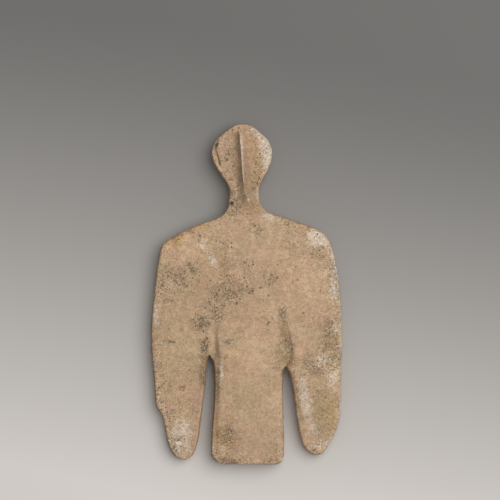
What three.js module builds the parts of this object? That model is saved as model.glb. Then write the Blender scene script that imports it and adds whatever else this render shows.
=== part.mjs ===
// A flat stone idol carved from one slab: a paddle-shaped head with a long nose ridge between hollowed cheeks,
// a thin neck, sloping shoulders, and two arms that hang free beside a plain trunk. It lies on its back.
// +X runs to the right of someone looking down on the face, +Y from the foot to the crown, +Z up through the slab.
import * as THREE from "three";
import { mergeVertices } from "three/addons/utils/BufferGeometryUtils.js";

const { clamp, lerp, smoothstep } = THREE.MathUtils;

// Driving dimensions, in millimetres.
const HEIGHT = 240; // foot to crown
const SPAN = 135; // outside of one arm to outside of the other
const BODY_THICKNESS = 18; // in the middle of the chest
const ARM_THICKNESS = 13; // at the outer side of the arms
const TIP_THICKNESS = 10.5; // at the hanging ends of the arms
const FOOT_THICKNESS = 16;
const NECK_THICKNESS = 14;
const HEAD_THICKNESS = 13;
const HEAD_WIDTH = 43.2; // across the brow, its widest place
const NECK_WIDTH = 20.9; // its narrowest place
const HEAD_LIFT = 1.5; // the back of the head stays this far off what the body lies on
const EDGE_ROUNDING = 2.8; // how far in from the outline the faces start to turn down
const EDGE_SHOULDER = 0.22; // how much of that turn is soft, as a share; the rest is the steep side
const WALL_ROUNDING = 1.2; // how far in from the outline the steep side leans
const ARM_BEVEL = 3.2; // the bevel on the arms' side of the sawn gaps
const TRUNK_BEVEL = 5; // and on the trunk's side, near the foot
const BEVEL_FADE = 36; // how far down from the top of a gap its bevels take to come to these widths
const NOSE_HEIGHT = 3.8; // of the ridge above the plain face
const NOSE_WIDTH = 6.6;
const NOSE_LEAN = 0.22; // how much wider its left side is than its right, as a share
const CHEEK_HOLLOW = 1.9;
const LEFT_GROOVE_LENGTH = 36; // of the saw mark that runs on above each gap
const RIGHT_GROOVE_LENGTH = 48;
const GROOVE_WALL = 3.2; // width of its steep side, along the arm
const GROOVE_WIDTH = 8.5; // width of its other side, a flat strip and a ramp up to the trunk
const GROOVE_FLOOR = 0.6; // how much of that is the strip, as a share
const FLOOR_FADE = 5; // how far above and below the top of the gap the strip narrows away
const GROOVE_DEPTH = 0.34; // at its lower end, as a share of half the slab

// Levels above the foot, as shares of the height.
const SHOULDER_LEVEL = 0.71;
const NECK_LEVEL = 0.795;
const BROW_LEVEL = 0.912;
const NOSE_START = 0.752; // low on the neck, where the ridge begins to rise
const NOSE_END = 0.992; // at the crown

// A share of half the span and a share of the height make a point of the outline.
const place = ([across, up]) => new THREE.Vector3((across * SPAN) / 2, up * HEIGHT, 0);
const curveThrough = (stations) => new THREE.CatmullRomCurve3(stations.map(place));

// Shares from 0 to 1 in equal steps that the spacing then stretches or squeezes.
const steps = (count, spacing) => [...Array(count + 1).keys()].map((i) => spacing(i / count));
const closeAtStart = (even) => 1 - Math.cos((even * Math.PI) / 2);
const closeAtEnd = (even) => Math.sin((even * Math.PI) / 2);
const closeAtBoth = (even) => even - (0.6 * Math.sin(2 * Math.PI * even)) / (2 * Math.PI);

// The outline, as the viewer sees it. Each arm's outer edge climbs from the tip, past the break low on the left
// arm or the nick on the right one, round the shoulder and along its slope to the foot of the neck. The inner
// edges climb from the tip and from the foot of the trunk to the crotch, where each gap ends.
const neckMiddle = -0.026;
const neckReach = NECK_WIDTH / SPAN;
const left = {
  sign: -1,
  tip: [-0.64, 0.0125],
  crotch: [-0.39, 0.319],
  neck: [neckMiddle - neckReach, NECK_LEVEL],
};
left.outer = curveThrough([
  left.tip,
  [-0.703, 0.0155],
  [-0.755, 0.0255],
  [-0.797, 0.041],
  [-0.832, 0.07],
  [-0.868, 0.118],
  [-0.888, 0.146],
  [-0.943, 0.168],
  [-0.964, 0.23],
  [-0.999, 0.333],
  [-1.001, 0.394],
  [-0.984, 0.468],
  [-0.94, 0.572],
  [-0.904, 0.629],
  [-0.874, 0.648],
  [-0.73, 0.6735],
  [-0.47, 0.7085],
  [-0.308, 0.7235],
  [-0.242, 0.736],
  [-0.203, 0.753],
  [-0.195, 0.772],
  left.neck,
]);
left.inner = curveThrough([
  left.tip,
  [-0.555, 0.031],
  [-0.503, 0.075],
  [-0.483, 0.121],
  [-0.431, 0.219],
  [-0.402, 0.312],
  left.crotch,
]);
left.trunk = curveThrough([
  [-0.372, 0.031],
  [-0.371, 0.07],
  [-0.36, 0.125],
  [-0.348, 0.18],
  [-0.344, 0.279],
  [-0.355, 0.303],
  left.crotch,
]);
left.groove = curveThrough([
  left.crotch,
  [-0.41, 0.36],
  [-0.414, 0.42],
  [-0.37, 0.53],
  [-0.25, 0.65],
  [-0.163, 0.73],
  left.neck,
]);

const right = {
  sign: 1,
  tip: [0.729, 0.0265],
  crotch: [0.405, 0.286],
  neck: [neckMiddle + neckReach, NECK_LEVEL],
};
right.outer = curveThrough([
  right.tip,
  [0.785, 0.0315],
  [0.835, 0.047],
  [0.892, 0.072],
  [0.957, 0.119],
  [0.981, 0.153],
  [0.963, 0.165],
  [0.982, 0.182],
  [0.987, 0.27],
  [0.999, 0.394],
  [0.979, 0.483],
  [0.936, 0.588],
  [0.876, 0.646],
  [0.813, 0.676],
  [0.69, 0.6945],
  [0.447, 0.719],
  [0.335, 0.73],
  [0.234, 0.7405],
  [0.18, 0.751],
  [0.142, 0.769],
  right.neck,
]);
right.inner = curveThrough([
  right.tip,
  [0.665, 0.0325],
  [0.605, 0.0485],
  [0.559, 0.081],
  [0.522, 0.135],
  [0.499, 0.184],
  [0.467, 0.245],
  [0.444, 0.2715],
  right.crotch,
]);
right.trunk = curveThrough([
  [0.392, 0.031],
  [0.394, 0.07],
  [0.384, 0.14],
  [0.377, 0.246],
  [0.38, 0.275],
  right.crotch,
]);
right.groove = curveThrough([
  right.crotch,
  [0.458, 0.32],
  [0.44, 0.375],
  [0.41, 0.42],
  [0.365, 0.475],
  [0.25, 0.61],
  [0.115, 0.72],
  right.neck,
]);

// The head leans a little to the viewer's left, and the nose ridge leans more than the head.
const headMiddle = (up) => {
  const brow = lerp(neckMiddle, -0.052, smoothstep(up, NECK_LEVEL, BROW_LEVEL));
  return (SPAN / 2) * lerp(brow, -0.043, smoothstep(up, BROW_LEVEL, 1));
};

// Points along a curve that climbs, and where it is across at a level.
const pointsUp = (curve) => curve.getSpacedPoints(80);
function acrossAt(line, y) {
  const next = line.findIndex((point) => point.y > y);
  if (next < 1) return line[next < 0 ? line.length - 1 : 0].x;
  return lerp(line[next - 1].x, line[next].x, (y - line[next - 1].y) / (line[next].y - line[next - 1].y));
}
const nosePoints = pointsUp(
  curveThrough([
    [0, NOSE_START],
    [-0.011, 0.793],
    [-0.025, 0.815],
    [-0.037, 0.84],
    [-0.0445, 0.878],
    [-0.052, 0.92],
    [-0.06, 0.94],
    [-0.074, 0.966],
    [-0.086, 1],
  ]),
);

// Half the width of the head: a smooth swell from the neck to the brow, and a blunt arch over the crown.
function halfWidth(up) {
  if (up < BROW_LEVEL) {
    const swell = clamp((up - NECK_LEVEL) / (BROW_LEVEL - NECK_LEVEL), 0, 1) ** 0.95;
    return lerp(NECK_WIDTH / 2, HEAD_WIDTH / 2, smoothstep(swell, 0, 1));
  }
  const rise = ((up - BROW_LEVEL) / (1 - BROW_LEVEL)) ** 2;
  return (HEAD_WIDTH / 2) * Math.max(0, 1 - rise) ** lerp(0.78, 0.5, rise ** 2);
}

// The edge of the head on one side, from the neck to the crown.
function headEdge(side) {
  const points = steps(60, closeAtEnd).map((share) => {
    const up = lerp(NECK_LEVEL, 1, share);
    return new THREE.Vector3(headMiddle(up) + side.sign * halfWidth(up), up * HEIGHT, 0);
  });
  return new THREE.CatmullRomCurve3(points);
}
left.head = headEdge(left);
right.head = headEdge(right);

// The nearest distance from a point to a set of curves.
function distanceTo(curves) {
  const segments = 90;
  const lines = curves.flatMap((curve) => {
    const points = curve.getSpacedPoints(segments);
    return points.slice(1).map((end, i) => [points[i], end]);
  });
  return (x, y) => {
    let nearest = Infinity;
    for (const [a, b] of lines) {
      const runX = b.x - a.x;
      const runY = b.y - a.y;
      const along = clamp(((x - a.x) * runX + (y - a.y) * runY) / (runX * runX + runY * runY || 1), 0, 1);
      nearest = Math.min(nearest, Math.hypot(x - a.x - along * runX, y - a.y - along * runY));
    }
    return nearest;
  };
}

// The foot is cut straight across, with rounded corners that the superellipse below gives it.
const footLeft = left.trunk.getPoint(0);
const footRight = right.trunk.getPoint(0);
const footDrop = (share) => Math.min(footLeft.y, footRight.y) * (1 - Math.abs(2 * share - 1) ** (share < 0.5 ? 8 : 14));
function footPoint(share) {
  const point = footLeft.clone().lerp(footRight, share);
  point.y -= footDrop(share);
  return point;
}
const foot = new THREE.CatmullRomCurve3(steps(24, closeAtBoth).map(footPoint));

const toOutline = distanceTo([left.outer, right.outer, left.head, right.head, foot]);
const toArms = distanceTo([left.inner, right.inner]);
const toTrunk = distanceTo([left.trunk, right.trunk]);

// The slab is lens-shaped across, and thins towards the foot and the tips. The neck and head are thinner again.
function thickness(x, y) {
  const out = Math.min(Math.abs(x) / (SPAN / 2), 1);
  const across = lerp(BODY_THICKNESS, ARM_THICKNESS, out ** 2);
  const low = lerp(FOOT_THICKNESS, TIP_THICKNESS, smoothstep(out, 0.35, 0.6));
  const body = lerp(low, across, smoothstep(y / HEIGHT, 0, 0.33));
  const neck = lerp(body, NECK_THICKNESS, smoothstep(y / HEIGHT, SHOULDER_LEVEL - 0.03, NECK_LEVEL));
  return lerp(neck, HEAD_THICKNESS, smoothstep(y / HEIGHT, NECK_LEVEL, BROW_LEVEL));
}
const lift = (y) => HEAD_LIFT * smoothstep(y / HEIGHT, SHOULDER_LEVEL, BROW_LEVEL);
const rimLevel = (x, y) => lift(y) + thickness(x, y) / 2;

// The nose ridge and the hollow of the cheek beside it, above or below the plain face of the head.
function faceRelief(x, y) {
  const up = y / HEIGHT;
  if (up < NOSE_START) return 0;
  const aside = x - acrossAt(nosePoints, y);
  const out = Math.abs(aside);
  const outShare = clamp(out / halfWidth(up), 0, 1);
  const cheek = Math.sin(Math.PI * outShare ** 0.6) * smoothstep(up, NECK_LEVEL, NECK_LEVEL + 0.04);
  const reach = (NOSE_WIDTH / 2) * (1 - NOSE_LEAN * Math.sign(aside));
  const ridge = Math.exp(-((out / reach) ** 2)) * smoothstep(up, NOSE_START, NOSE_START + 0.035);
  const fadeOut = 1 - smoothstep(up, NOSE_END - 0.03, NOSE_END);
  return fadeOut * (NOSE_HEIGHT * ridge - CHEEK_HOLLOW * cheek);
}

// The bottom line of a saw cut: straight up inside the gap, then along the groove that runs on above it.
for (const side of [left, right]) side.sawPoints = pointsUp(side.groove);

// A quarter round from the rim up to the face.
const turn = (distance, width) => Math.sqrt(1 - (1 - Math.min(distance / width, 1)) ** 2);

// How much of the front half of the slab a saw cut leaves: none where it has gone through, all of it away from
// the cut. Beside its line it leaves a steep low wall on the arm's side, and on the trunk's side a flat strip
// and then a ramp. It climbs out above the crotch, and below it its strip narrows to a bevel along the gap.
function leftBySaw(side, length, x, y) {
  const wall = turn(Math.min(toArms(x, y), toTrunk(x, y)), WALL_ROUNDING);
  if (side.sign * x < 0) return wall;
  const crotch = side.crotch[1] * HEIGHT;
  const towardsArm = side.sign * (x - acrossAt(side.sawPoints, y));
  const onArm = towardsArm > 0;
  const fall = smoothstep(crotch - y, 0, BEVEL_FADE);
  const depth = GROOVE_DEPTH * (1 - clamp((y - crotch) / length, 0, 1)) * (1 - fall / 2);
  const beside = y > crotch ? Math.abs(towardsArm) : onArm ? toArms(x, y) : toTrunk(x, y);
  const strip = GROOVE_FLOOR * smoothstep(y, crotch - FLOOR_FADE, crotch + FLOOR_FADE);
  const missing = onArm
    ? (1 - clamp(beside / lerp(GROOVE_WALL, ARM_BEVEL, fall), 0, 1)) ** 1.5
    : clamp((1 - beside / lerp(GROOVE_WIDTH, TRUNK_BEVEL, fall)) / (1 - strip), 0, 1);
  return wall * (1 - depth * missing);
}

// From the rim up a steep side, and over a soft shoulder onto the face.
const edgeTurn = (distance) =>
  lerp(turn(distance, WALL_ROUNDING), turn(distance, EDGE_ROUNDING), EDGE_SHOULDER);

function frontLevel(x, y) {
  const rim = rimLevel(x, y);
  const face = lift(y) + thickness(x, y) + faceRelief(x, y);
  const sawn = Math.min(leftBySaw(left, LEFT_GROOVE_LENGTH, x, y), leftBySaw(right, RIGHT_GROOVE_LENGTH, x, y));
  return rim + (face - rim) * edgeTurn(toOutline(x, y)) * sawn;
}

// The back is plain and flat, with rounded edges.
function backLevel(x, y) {
  const gap = Math.min(toArms(x, y), toTrunk(x, y));
  return lerp(rimLevel(x, y), lift(y), turn(toOutline(x, y), EDGE_ROUNDING) * turn(gap, ARM_BEVEL));
}

// Places across a row: a few close to each end, where the slab turns down, and the rest between, closer
// together in the middle, where the nose is.
function acrossRow(width, inside) {
  const turnShare = Math.min(GROOVE_WIDTH / width, 0.3);
  const ends = steps(4, closeAtStart).map((share) => share * turnShare);
  const middle = [];
  for (let i = 1; i < inside; i++) {
    const even = (2 * i) / inside - 1;
    middle.push(lerp(turnShare, 1 - turnShare, (1 + Math.sign(even) * Math.abs(even) ** 1.4) / 2));
  }
  return [...ends, ...middle, ...ends.map((share) => 1 - share).reverse()];
}

// Rows of the slab between two edges. A row's end is on the rim, where front and back meet, or on a line
// inside the slab that a neighbouring panel shares.
const triangles = [];
function panel(rows, inside) {
  const sheets = [frontLevel, backLevel].map((level) =>
    rows.map(({ a, b, aOnRim, bOnRim, drop = () => 0, allOnRim = false }) => {
      const places = acrossRow(Math.max(a.distanceTo(b), 1e-6), inside);
      return places.map((share, column) => {
        const x = lerp(a.x, b.x, share);
        const y = lerp(a.y, b.y, share) - drop(share);
        const onRim = allOnRim || (aOnRim && column === 0) || (bOnRim && column === places.length - 1);
        return new THREE.Vector3(x, y, onRim ? rimLevel(x, y) : level(x, y));
      });
    }),
  );
  sheets.forEach((sheet, isBack) => {
    for (let r = 1; r < sheet.length; r++) {
      for (let c = 1; c < sheet[r].length; c++) {
        const corners = [sheet[r - 1][c - 1], sheet[r - 1][c], sheet[r][c], sheet[r][c - 1]];
        if (isBack) corners.reverse();
        const [p, q, s, t] = corners;
        triangles.push(p, q, s, p, s, t);
      }
    }
  });
}

// The share along an outer edge that lies level with the crotch.
function shareAtCrotch(side) {
  const level = side.crotch[1] * HEIGHT;
  const points = side.outer.getSpacedPoints(400);
  return points.findIndex((point) => point.y > level) / 400;
}

// Where the rows are, as shares of each edge. Below the crotch they are closest at the tip and at the top of the
// gap, and one meets each end of the break in the left arm.
const gapRows = [
  0, 0.01, 0.035, 0.075, 0.13, 0.195, 0.265, 0.335, 0.4, 0.46, 0.504, 0.548, 0.61, 0.68, 0.75, 0.82, 0.88, 0.93,
  0.97, 1,
];
const chestRows = steps(22, closeAtBoth);
const headRows = steps(20, closeAtEnd);
const at = (curve, share) => curve.getPointAt(share);

// Trunk, chest, neck and head, as one run of rows from the foot to the crown.
const footFade = (share) => (1 - share) ** 3;
const trunkRows = [
  ...gapRows.map((share, i) => ({
    a: at(left.trunk, share),
    b: at(right.trunk, share),
    aOnRim: true,
    bOnRim: true,
    allOnRim: i === 0,
    drop: (across) => footDrop(across) * footFade(share),
  })),
  ...chestRows.slice(1, -1).map((share) => ({ a: at(left.groove, share), b: at(right.groove, share) })),
  ...headRows.map((share) => ({
    a: at(left.head, share),
    b: at(right.head, share),
    aOnRim: true,
    bOnRim: true,
  })),
];
panel(trunkRows, 14);

// Each arm hangs from its shoulder. Its rows share their inner ends with the chest above the crotch.
for (const side of [left, right]) {
  const turnPoint = shareAtCrotch(side);
  const hanging = gapRows.map((share) => ({
    outer: at(side.outer, share * turnPoint),
    inner: at(side.inner, share),
    innerOnRim: true,
  }));
  const shoulder = chestRows.slice(1).map((share) => ({
    outer: at(side.outer, lerp(turnPoint, 1, share)),
    inner: at(side.groove, share),
    innerOnRim: share === 1,
  }));
  const rows = [...hanging, ...shoulder].map(({ outer, inner, innerOnRim }) =>
    side === left
      ? { a: outer, b: inner, aOnRim: true, bOnRim: innerOnRim }
      : { a: inner, b: outer, aOnRim: innerOnRim, bOnRim: true },
  );
  panel(rows, 5);
}

// Welds the panels into one closed skin, drops the triangles that the welding closed up, and puts the middle
// of the whole over the origin.
function weld(points) {
  const loose = new THREE.BufferGeometry().setFromPoints(points);
  const skin = mergeVertices(loose, 1e-3);
  const index = [...skin.index.array];
  const kept = [];
  for (let i = 0; i < index.length; i += 3) {
    const [p, q, s] = index.slice(i, i + 3);
    if (p !== q && q !== s && s !== p) kept.push(p, q, s);
  }
  skin.setIndex(kept);
  skin.computeBoundingBox();
  const { min, max } = skin.boundingBox;
  skin.translate(-(min.x + max.x) / 2, -(min.y + max.y) / 2, -min.z);
  skin.computeVertexNormals();
  return skin;
}

const stone = new THREE.MeshStandardMaterial({ color: 0xb49b7c, roughness: 0.9, metalness: 0 });
const idol = new THREE.Mesh(weld(triangles), stone);
idol.name = "idol";

const group = new THREE.Group();
group.add(idol);
export default group;
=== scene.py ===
import math

import bpy
import numpy as np
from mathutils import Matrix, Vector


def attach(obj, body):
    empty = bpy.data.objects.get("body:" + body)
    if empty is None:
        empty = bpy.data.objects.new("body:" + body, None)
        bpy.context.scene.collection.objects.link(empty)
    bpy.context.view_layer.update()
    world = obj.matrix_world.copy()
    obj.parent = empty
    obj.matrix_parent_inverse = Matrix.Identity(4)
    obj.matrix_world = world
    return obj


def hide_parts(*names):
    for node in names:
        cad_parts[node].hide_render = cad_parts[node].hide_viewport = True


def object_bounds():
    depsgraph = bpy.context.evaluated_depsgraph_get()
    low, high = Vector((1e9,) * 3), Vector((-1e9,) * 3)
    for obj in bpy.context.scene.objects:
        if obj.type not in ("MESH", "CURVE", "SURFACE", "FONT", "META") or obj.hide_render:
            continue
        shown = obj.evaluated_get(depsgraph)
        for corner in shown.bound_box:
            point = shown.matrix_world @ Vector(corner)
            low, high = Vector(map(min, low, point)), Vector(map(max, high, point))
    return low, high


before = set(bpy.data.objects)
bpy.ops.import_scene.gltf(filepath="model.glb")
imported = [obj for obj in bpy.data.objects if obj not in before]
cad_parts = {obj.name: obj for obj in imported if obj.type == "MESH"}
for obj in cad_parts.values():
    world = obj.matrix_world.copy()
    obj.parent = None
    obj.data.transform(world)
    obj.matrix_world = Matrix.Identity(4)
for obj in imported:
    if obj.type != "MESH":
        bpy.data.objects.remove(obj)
cad_low, cad_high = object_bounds()


# The slab's outline.
# One flat piece of fine-grained stone, sawn and rubbed to shape: a paddle-shaped head on a thin neck,
# sloping shoulders, and two arms cut free by a gap on each side. It lies on its back, its head towards +Y.

# Sizes in millimetres. Levels and stations are shares of the height, and of half the span for what is across.
HEIGHT = 240
SPAN = 135
HEAD_WIDTH = 43.2
NECK_WIDTH = 20.9
SHOULDER_LEVEL = 0.71
NECK_LEVEL = 0.795
BROW_LEVEL = 0.912
NOSE_START = 0.752
NOSE_END = 0.992
NECK_MIDDLE = -0.026
BROW_MIDDLE = -0.052
CROWN_MIDDLE = -0.043
SWELL_POWER = 0.95
ARCH_POWERS = (0.78, 0.5)
FOOT_POWERS = (8, 14)

# Each side's outline, as stations that smooth curves run through. The groove is where the saw cut runs on
# above its gap, from the crotch to the neck, and it has faded out after the groove length.
LEFT = {
    "sign": -1,
    "crotch": (-0.39, 0.319),
    "groove length": 36,
    "outer": [
        (-0.64, 0.0125),
        (-0.703, 0.0155),
        (-0.755, 0.0255),
        (-0.797, 0.041),
        (-0.832, 0.07),
        (-0.868, 0.118),
        (-0.888, 0.146),
        (-0.943, 0.168),
        (-0.964, 0.23),
        (-0.999, 0.333),
        (-1.001, 0.394),
        (-0.984, 0.468),
        (-0.94, 0.572),
        (-0.904, 0.629),
        (-0.874, 0.648),
        (-0.73, 0.6735),
        (-0.47, 0.7085),
        (-0.308, 0.7235),
        (-0.242, 0.736),
        (-0.203, 0.753),
        (-0.195, 0.772),
    ],
    "inner": [
        (-0.64, 0.0125),
        (-0.555, 0.031),
        (-0.503, 0.075),
        (-0.483, 0.121),
        (-0.431, 0.219),
        (-0.402, 0.312),
    ],
    "trunk": [
        (-0.372, 0.031),
        (-0.371, 0.07),
        (-0.36, 0.125),
        (-0.348, 0.18),
        (-0.344, 0.279),
        (-0.355, 0.303),
    ],
    "groove": [(-0.41, 0.36), (-0.414, 0.42), (-0.37, 0.53), (-0.25, 0.65), (-0.163, 0.73)],
}
RIGHT = {
    "sign": 1,
    "crotch": (0.405, 0.286),
    "groove length": 48,
    "outer": [
        (0.729, 0.0265),
        (0.785, 0.0315),
        (0.835, 0.047),
        (0.892, 0.072),
        (0.957, 0.119),
        (0.981, 0.153),
        (0.963, 0.165),
        (0.982, 0.182),
        (0.987, 0.27),
        (0.999, 0.394),
        (0.979, 0.483),
        (0.936, 0.588),
        (0.876, 0.646),
        (0.813, 0.676),
        (0.69, 0.6945),
        (0.447, 0.719),
        (0.335, 0.73),
        (0.234, 0.7405),
        (0.18, 0.751),
        (0.142, 0.769),
    ],
    "inner": [
        (0.729, 0.0265),
        (0.665, 0.0325),
        (0.605, 0.0485),
        (0.559, 0.081),
        (0.522, 0.135),
        (0.499, 0.184),
        (0.467, 0.245),
        (0.444, 0.2715),
    ],
    "trunk": [(0.392, 0.031), (0.394, 0.07), (0.384, 0.14), (0.377, 0.246), (0.38, 0.275)],
    "groove": [(0.458, 0.32), (0.44, 0.375), (0.41, 0.42), (0.365, 0.475), (0.25, 0.61), (0.115, 0.72)],
}


def mix(a, b, share):
    """a where share is 0, b where it is 1, and in proportion between."""
    return a + (b - a) * share


def ramp(value, low, high):
    """0 below low, 1 above high, and the cubic 3t^2 - 2t^3 between."""
    t = np.clip((value - low) / (high - low), 0, 1)
    return t * t * (3 - 2 * t)


STRETCH_STEPS = 24
HEAD_POINTS = 240
FOOT_POINTS = 90


def curve_through(stations):
    """Points of a centripetal Catmull-Rom curve. Each stretch is a cubic Hermite curve, whose end slopes come
    from the chords before and after a station, weighted by the square roots of their lengths."""
    p = np.array(stations) * (SPAN / 2, HEIGHT)
    p = np.vstack([2 * p[0] - p[1], p, 2 * p[-1] - p[-2]])
    gap = np.sqrt(np.linalg.norm(np.diff(p, axis=0), axis=1))[:, None]
    chord = np.diff(p, axis=0) / gap
    slope = chord[:-1] - (p[2:] - p[:-2]) / (gap[:-1] + gap[1:]) + chord[1:]
    t = np.linspace(0, 1, STRETCH_STEPS, endpoint=False)[:, None]
    stretches = [
        (2 * t**3 - 3 * t**2 + 1) * p[i + 1]
        + (t**3 - 2 * t**2 + t) * slope[i] * gap[i + 1]
        + (3 * t**2 - 2 * t**3) * p[i + 2]
        + (t**3 - t**2) * slope[i + 1] * gap[i + 1]
        for i in range(len(p) - 3)
    ]
    return np.vstack([*stretches, p[-2]])


def at(points, shares):
    """Places along a run of points, at these shares of its length."""
    run = np.append(0, np.cumsum(np.linalg.norm(np.diff(points, axis=0), axis=1)))
    return np.stack([np.interp(shares, run / run[-1], points[:, k]) for k in (0, 1)], axis=-1)


def head_middle(up):
    """How far aside the head's middle line is: it eases from the neck to the brow, then on to the crown, each
    time as 3t^2 - 2t^3."""
    brow = mix(NECK_MIDDLE, BROW_MIDDLE, ramp(up, NECK_LEVEL, BROW_LEVEL))
    return SPAN / 2 * mix(brow, CROWN_MIDDLE, ramp(up, BROW_LEVEL, 1))


def half_width(up):
    """Half the width of the head: a swell 3s^2 - 2s^3, with s = t^0.95, from the neck to the brow, then a
    blunt arch (1 - t^2)^k over the crown, with k falling from its first power to its second as t^4 grows."""
    swell = np.clip((up - NECK_LEVEL) / (BROW_LEVEL - NECK_LEVEL), 0, 1) ** SWELL_POWER
    below = mix(NECK_WIDTH / 2, HEAD_WIDTH / 2, ramp(swell, 0, 1))
    rise = np.clip((up - BROW_LEVEL) / (1 - BROW_LEVEL), 0, 1) ** 2
    arch = HEAD_WIDTH / 2 * (1 - rise) ** mix(*ARCH_POWERS, rise**2)
    return np.where(up < BROW_LEVEL, below, arch)


head_levels = mix(NECK_LEVEL, 1, np.sin(np.linspace(0, math.pi / 2, HEAD_POINTS)))
for side in (LEFT, RIGHT):
    neck = (NECK_MIDDLE + side["sign"] * NECK_WIDTH / SPAN, NECK_LEVEL)
    crotch = side["crotch"]
    side["groove"] = curve_through([crotch, *side["groove"], neck])
    side["outer"] = curve_through([*side["outer"], neck])
    side["inner"] = curve_through([*side["inner"], crotch])
    side["trunk"] = curve_through([*side["trunk"], crotch])
    head_x = head_middle(head_levels) + side["sign"] * half_width(head_levels)
    side["head"] = np.stack([head_x, head_levels * HEIGHT], axis=-1)

nose_line = curve_through(
    [
        (0, NOSE_START),
        (-0.011, 0.793),
        (-0.025, 0.815),
        (-0.037, 0.84),
        (-0.0445, 0.878),
        (-0.052, 0.92),
        (-0.06, 0.94),
        (-0.074, 0.966),
        (-0.086, 1),
    ]
)

FOOT_LEVEL = min(LEFT["trunk"][0, 1], RIGHT["trunk"][0, 1])


def foot_drop(share):
    """How far the foot reaches below the ends of the trunk's sides: 1 - |t|^k, nearly flat across, with a
    higher power and so a tighter corner on the right than on the left."""
    return FOOT_LEVEL * (1 - np.abs(2 * share - 1) ** np.where(share < 0.5, *FOOT_POWERS))


foot_share = np.linspace(0, 1, FOOT_POINTS)
foot = mix(LEFT["trunk"][0], RIGHT["trunk"][0], foot_share[:, None])
foot[:, 1] -= foot_drop(foot_share)


# The slab's two faces.
# The front is slightly lens-shaped, with its edges rubbed round, a nose ridge between hollowed cheeks, and
# saw cuts that lean in to the gaps and run on above them. The back is plain and flat.
BODY_THICKNESS = 18
ARM_THICKNESS = 13
TIP_THICKNESS = 10.5
FOOT_THICKNESS = 16
NECK_THICKNESS = 14
HEAD_THICKNESS = 13
HEAD_LIFT = 1.5
TRUNK_TO_TIP = (0.35, 0.6)
THIN_BELOW = 0.33
NECK_THINS_OVER = 0.03
EDGE_ROUNDING = 2.8
EDGE_SHOULDER = 0.22
WALL_ROUNDING = 1.2
ARM_BEVEL = 3.2
TRUNK_BEVEL = 5
BEVEL_FADE = 36
NOSE_HEIGHT = 3.8
NOSE_WIDTH = 6.6
NOSE_LEAN = 0.22
NOSE_POWER = 1.3
NOSE_RISE = 0.035
NOSE_FALL = 0.03
CHEEK_HOLLOW = 1.9
CHEEK_POWER = 0.6
CHEEK_RISE = 0.04
GROOVE_WALL = 3.2
GROOVE_WIDTH = 8.5
GROOVE_FLOOR = 0.6
FLOOR_FADE = 5
GROOVE_DEPTH = 0.34
RUN_STEPS = 150


def distance_to(runs, x, y):
    """The distance from each place to the nearest of some runs of points, taken as straight stretches."""
    nearest = np.full(x.shape, np.inf)
    for run in runs:
        points = at(run, np.linspace(0, 1, RUN_STEPS))
        for (ax, ay), (bx, by) in zip(points[:-1], points[1:]):
            dx, dy = bx - ax, by - ay
            along = np.clip(((x - ax) * dx + (y - ay) * dy) / (dx * dx + dy * dy), 0, 1)
            np.minimum(nearest, (x - ax - along * dx) ** 2 + (y - ay - along * dy) ** 2, out=nearest)
    return np.sqrt(nearest)


def quarter_round(distance, width):
    """A quarter circle, from 0 at the edge to 1 at this width: sqrt(1 - (1 - t)^2)."""
    return np.sqrt(1 - (1 - np.minimum(distance / width, 1)) ** 2)


def left_by_saw(side, to_arms, to_trunk, x, y):
    """How much of the front half of the slab a saw cut leaves: 0 where it has gone through, 1 away from it.
    Beside its line it leaves 1 - depth. From there a low wall (1 - t)^1.5 rises on the arm's side, and on the
    trunk's side a flat strip and a ramp 1 - t. Above the crotch the cut climbs out in proportion to the
    height, and below it the strip narrows to a bevel."""
    crotch_level = side["crotch"][1] * HEIGHT
    line_x = np.interp(y, side["groove"][:, 1], side["groove"][:, 0])
    towards_arm = side["sign"] * (x - line_x)
    on_arm = towards_arm > 0
    fall = ramp(crotch_level - y, 0, BEVEL_FADE)
    climb = np.clip((y - crotch_level) / side["groove length"], 0, 1)
    depth = GROOVE_DEPTH * (1 - climb) * (1 - fall / 2) * (side["sign"] * x > 0)
    beside = np.where(y > crotch_level, np.abs(towards_arm), np.where(on_arm, to_arms, to_trunk))
    steep = (1 - np.clip(beside / mix(GROOVE_WALL, ARM_BEVEL, fall), 0, 1)) ** 1.5
    strip = GROOVE_FLOOR * ramp(y, crotch_level - FLOOR_FADE, crotch_level + FLOOR_FADE)
    leaning = np.clip((1 - beside / mix(GROOVE_WIDTH, TRUNK_BEVEL, fall)) / (1 - strip), 0, 1)
    wall = quarter_round(np.minimum(to_arms, to_trunk), WALL_ROUNDING)
    return wall * (1 - depth * np.where(on_arm, steep, leaning))


def thickness(x, y):
    """The slab's thickness. Across the body it falls with t^2 from the middle to the arms, and it eases as
    3t^2 - 2t^3 down to the foot and the arms' tips, and up to the neck and the head."""
    up = y / HEIGHT
    out = np.minimum(np.abs(x) / (SPAN / 2), 1)
    across = mix(BODY_THICKNESS, ARM_THICKNESS, out**2)
    low = mix(FOOT_THICKNESS, TIP_THICKNESS, ramp(out, *TRUNK_TO_TIP))
    body = mix(low, across, ramp(up, 0, THIN_BELOW))
    neck = mix(body, NECK_THICKNESS, ramp(up, SHOULDER_LEVEL - NECK_THINS_OVER, NECK_LEVEL))
    return mix(neck, HEAD_THICKNESS, ramp(up, NECK_LEVEL, BROW_LEVEL))


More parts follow.
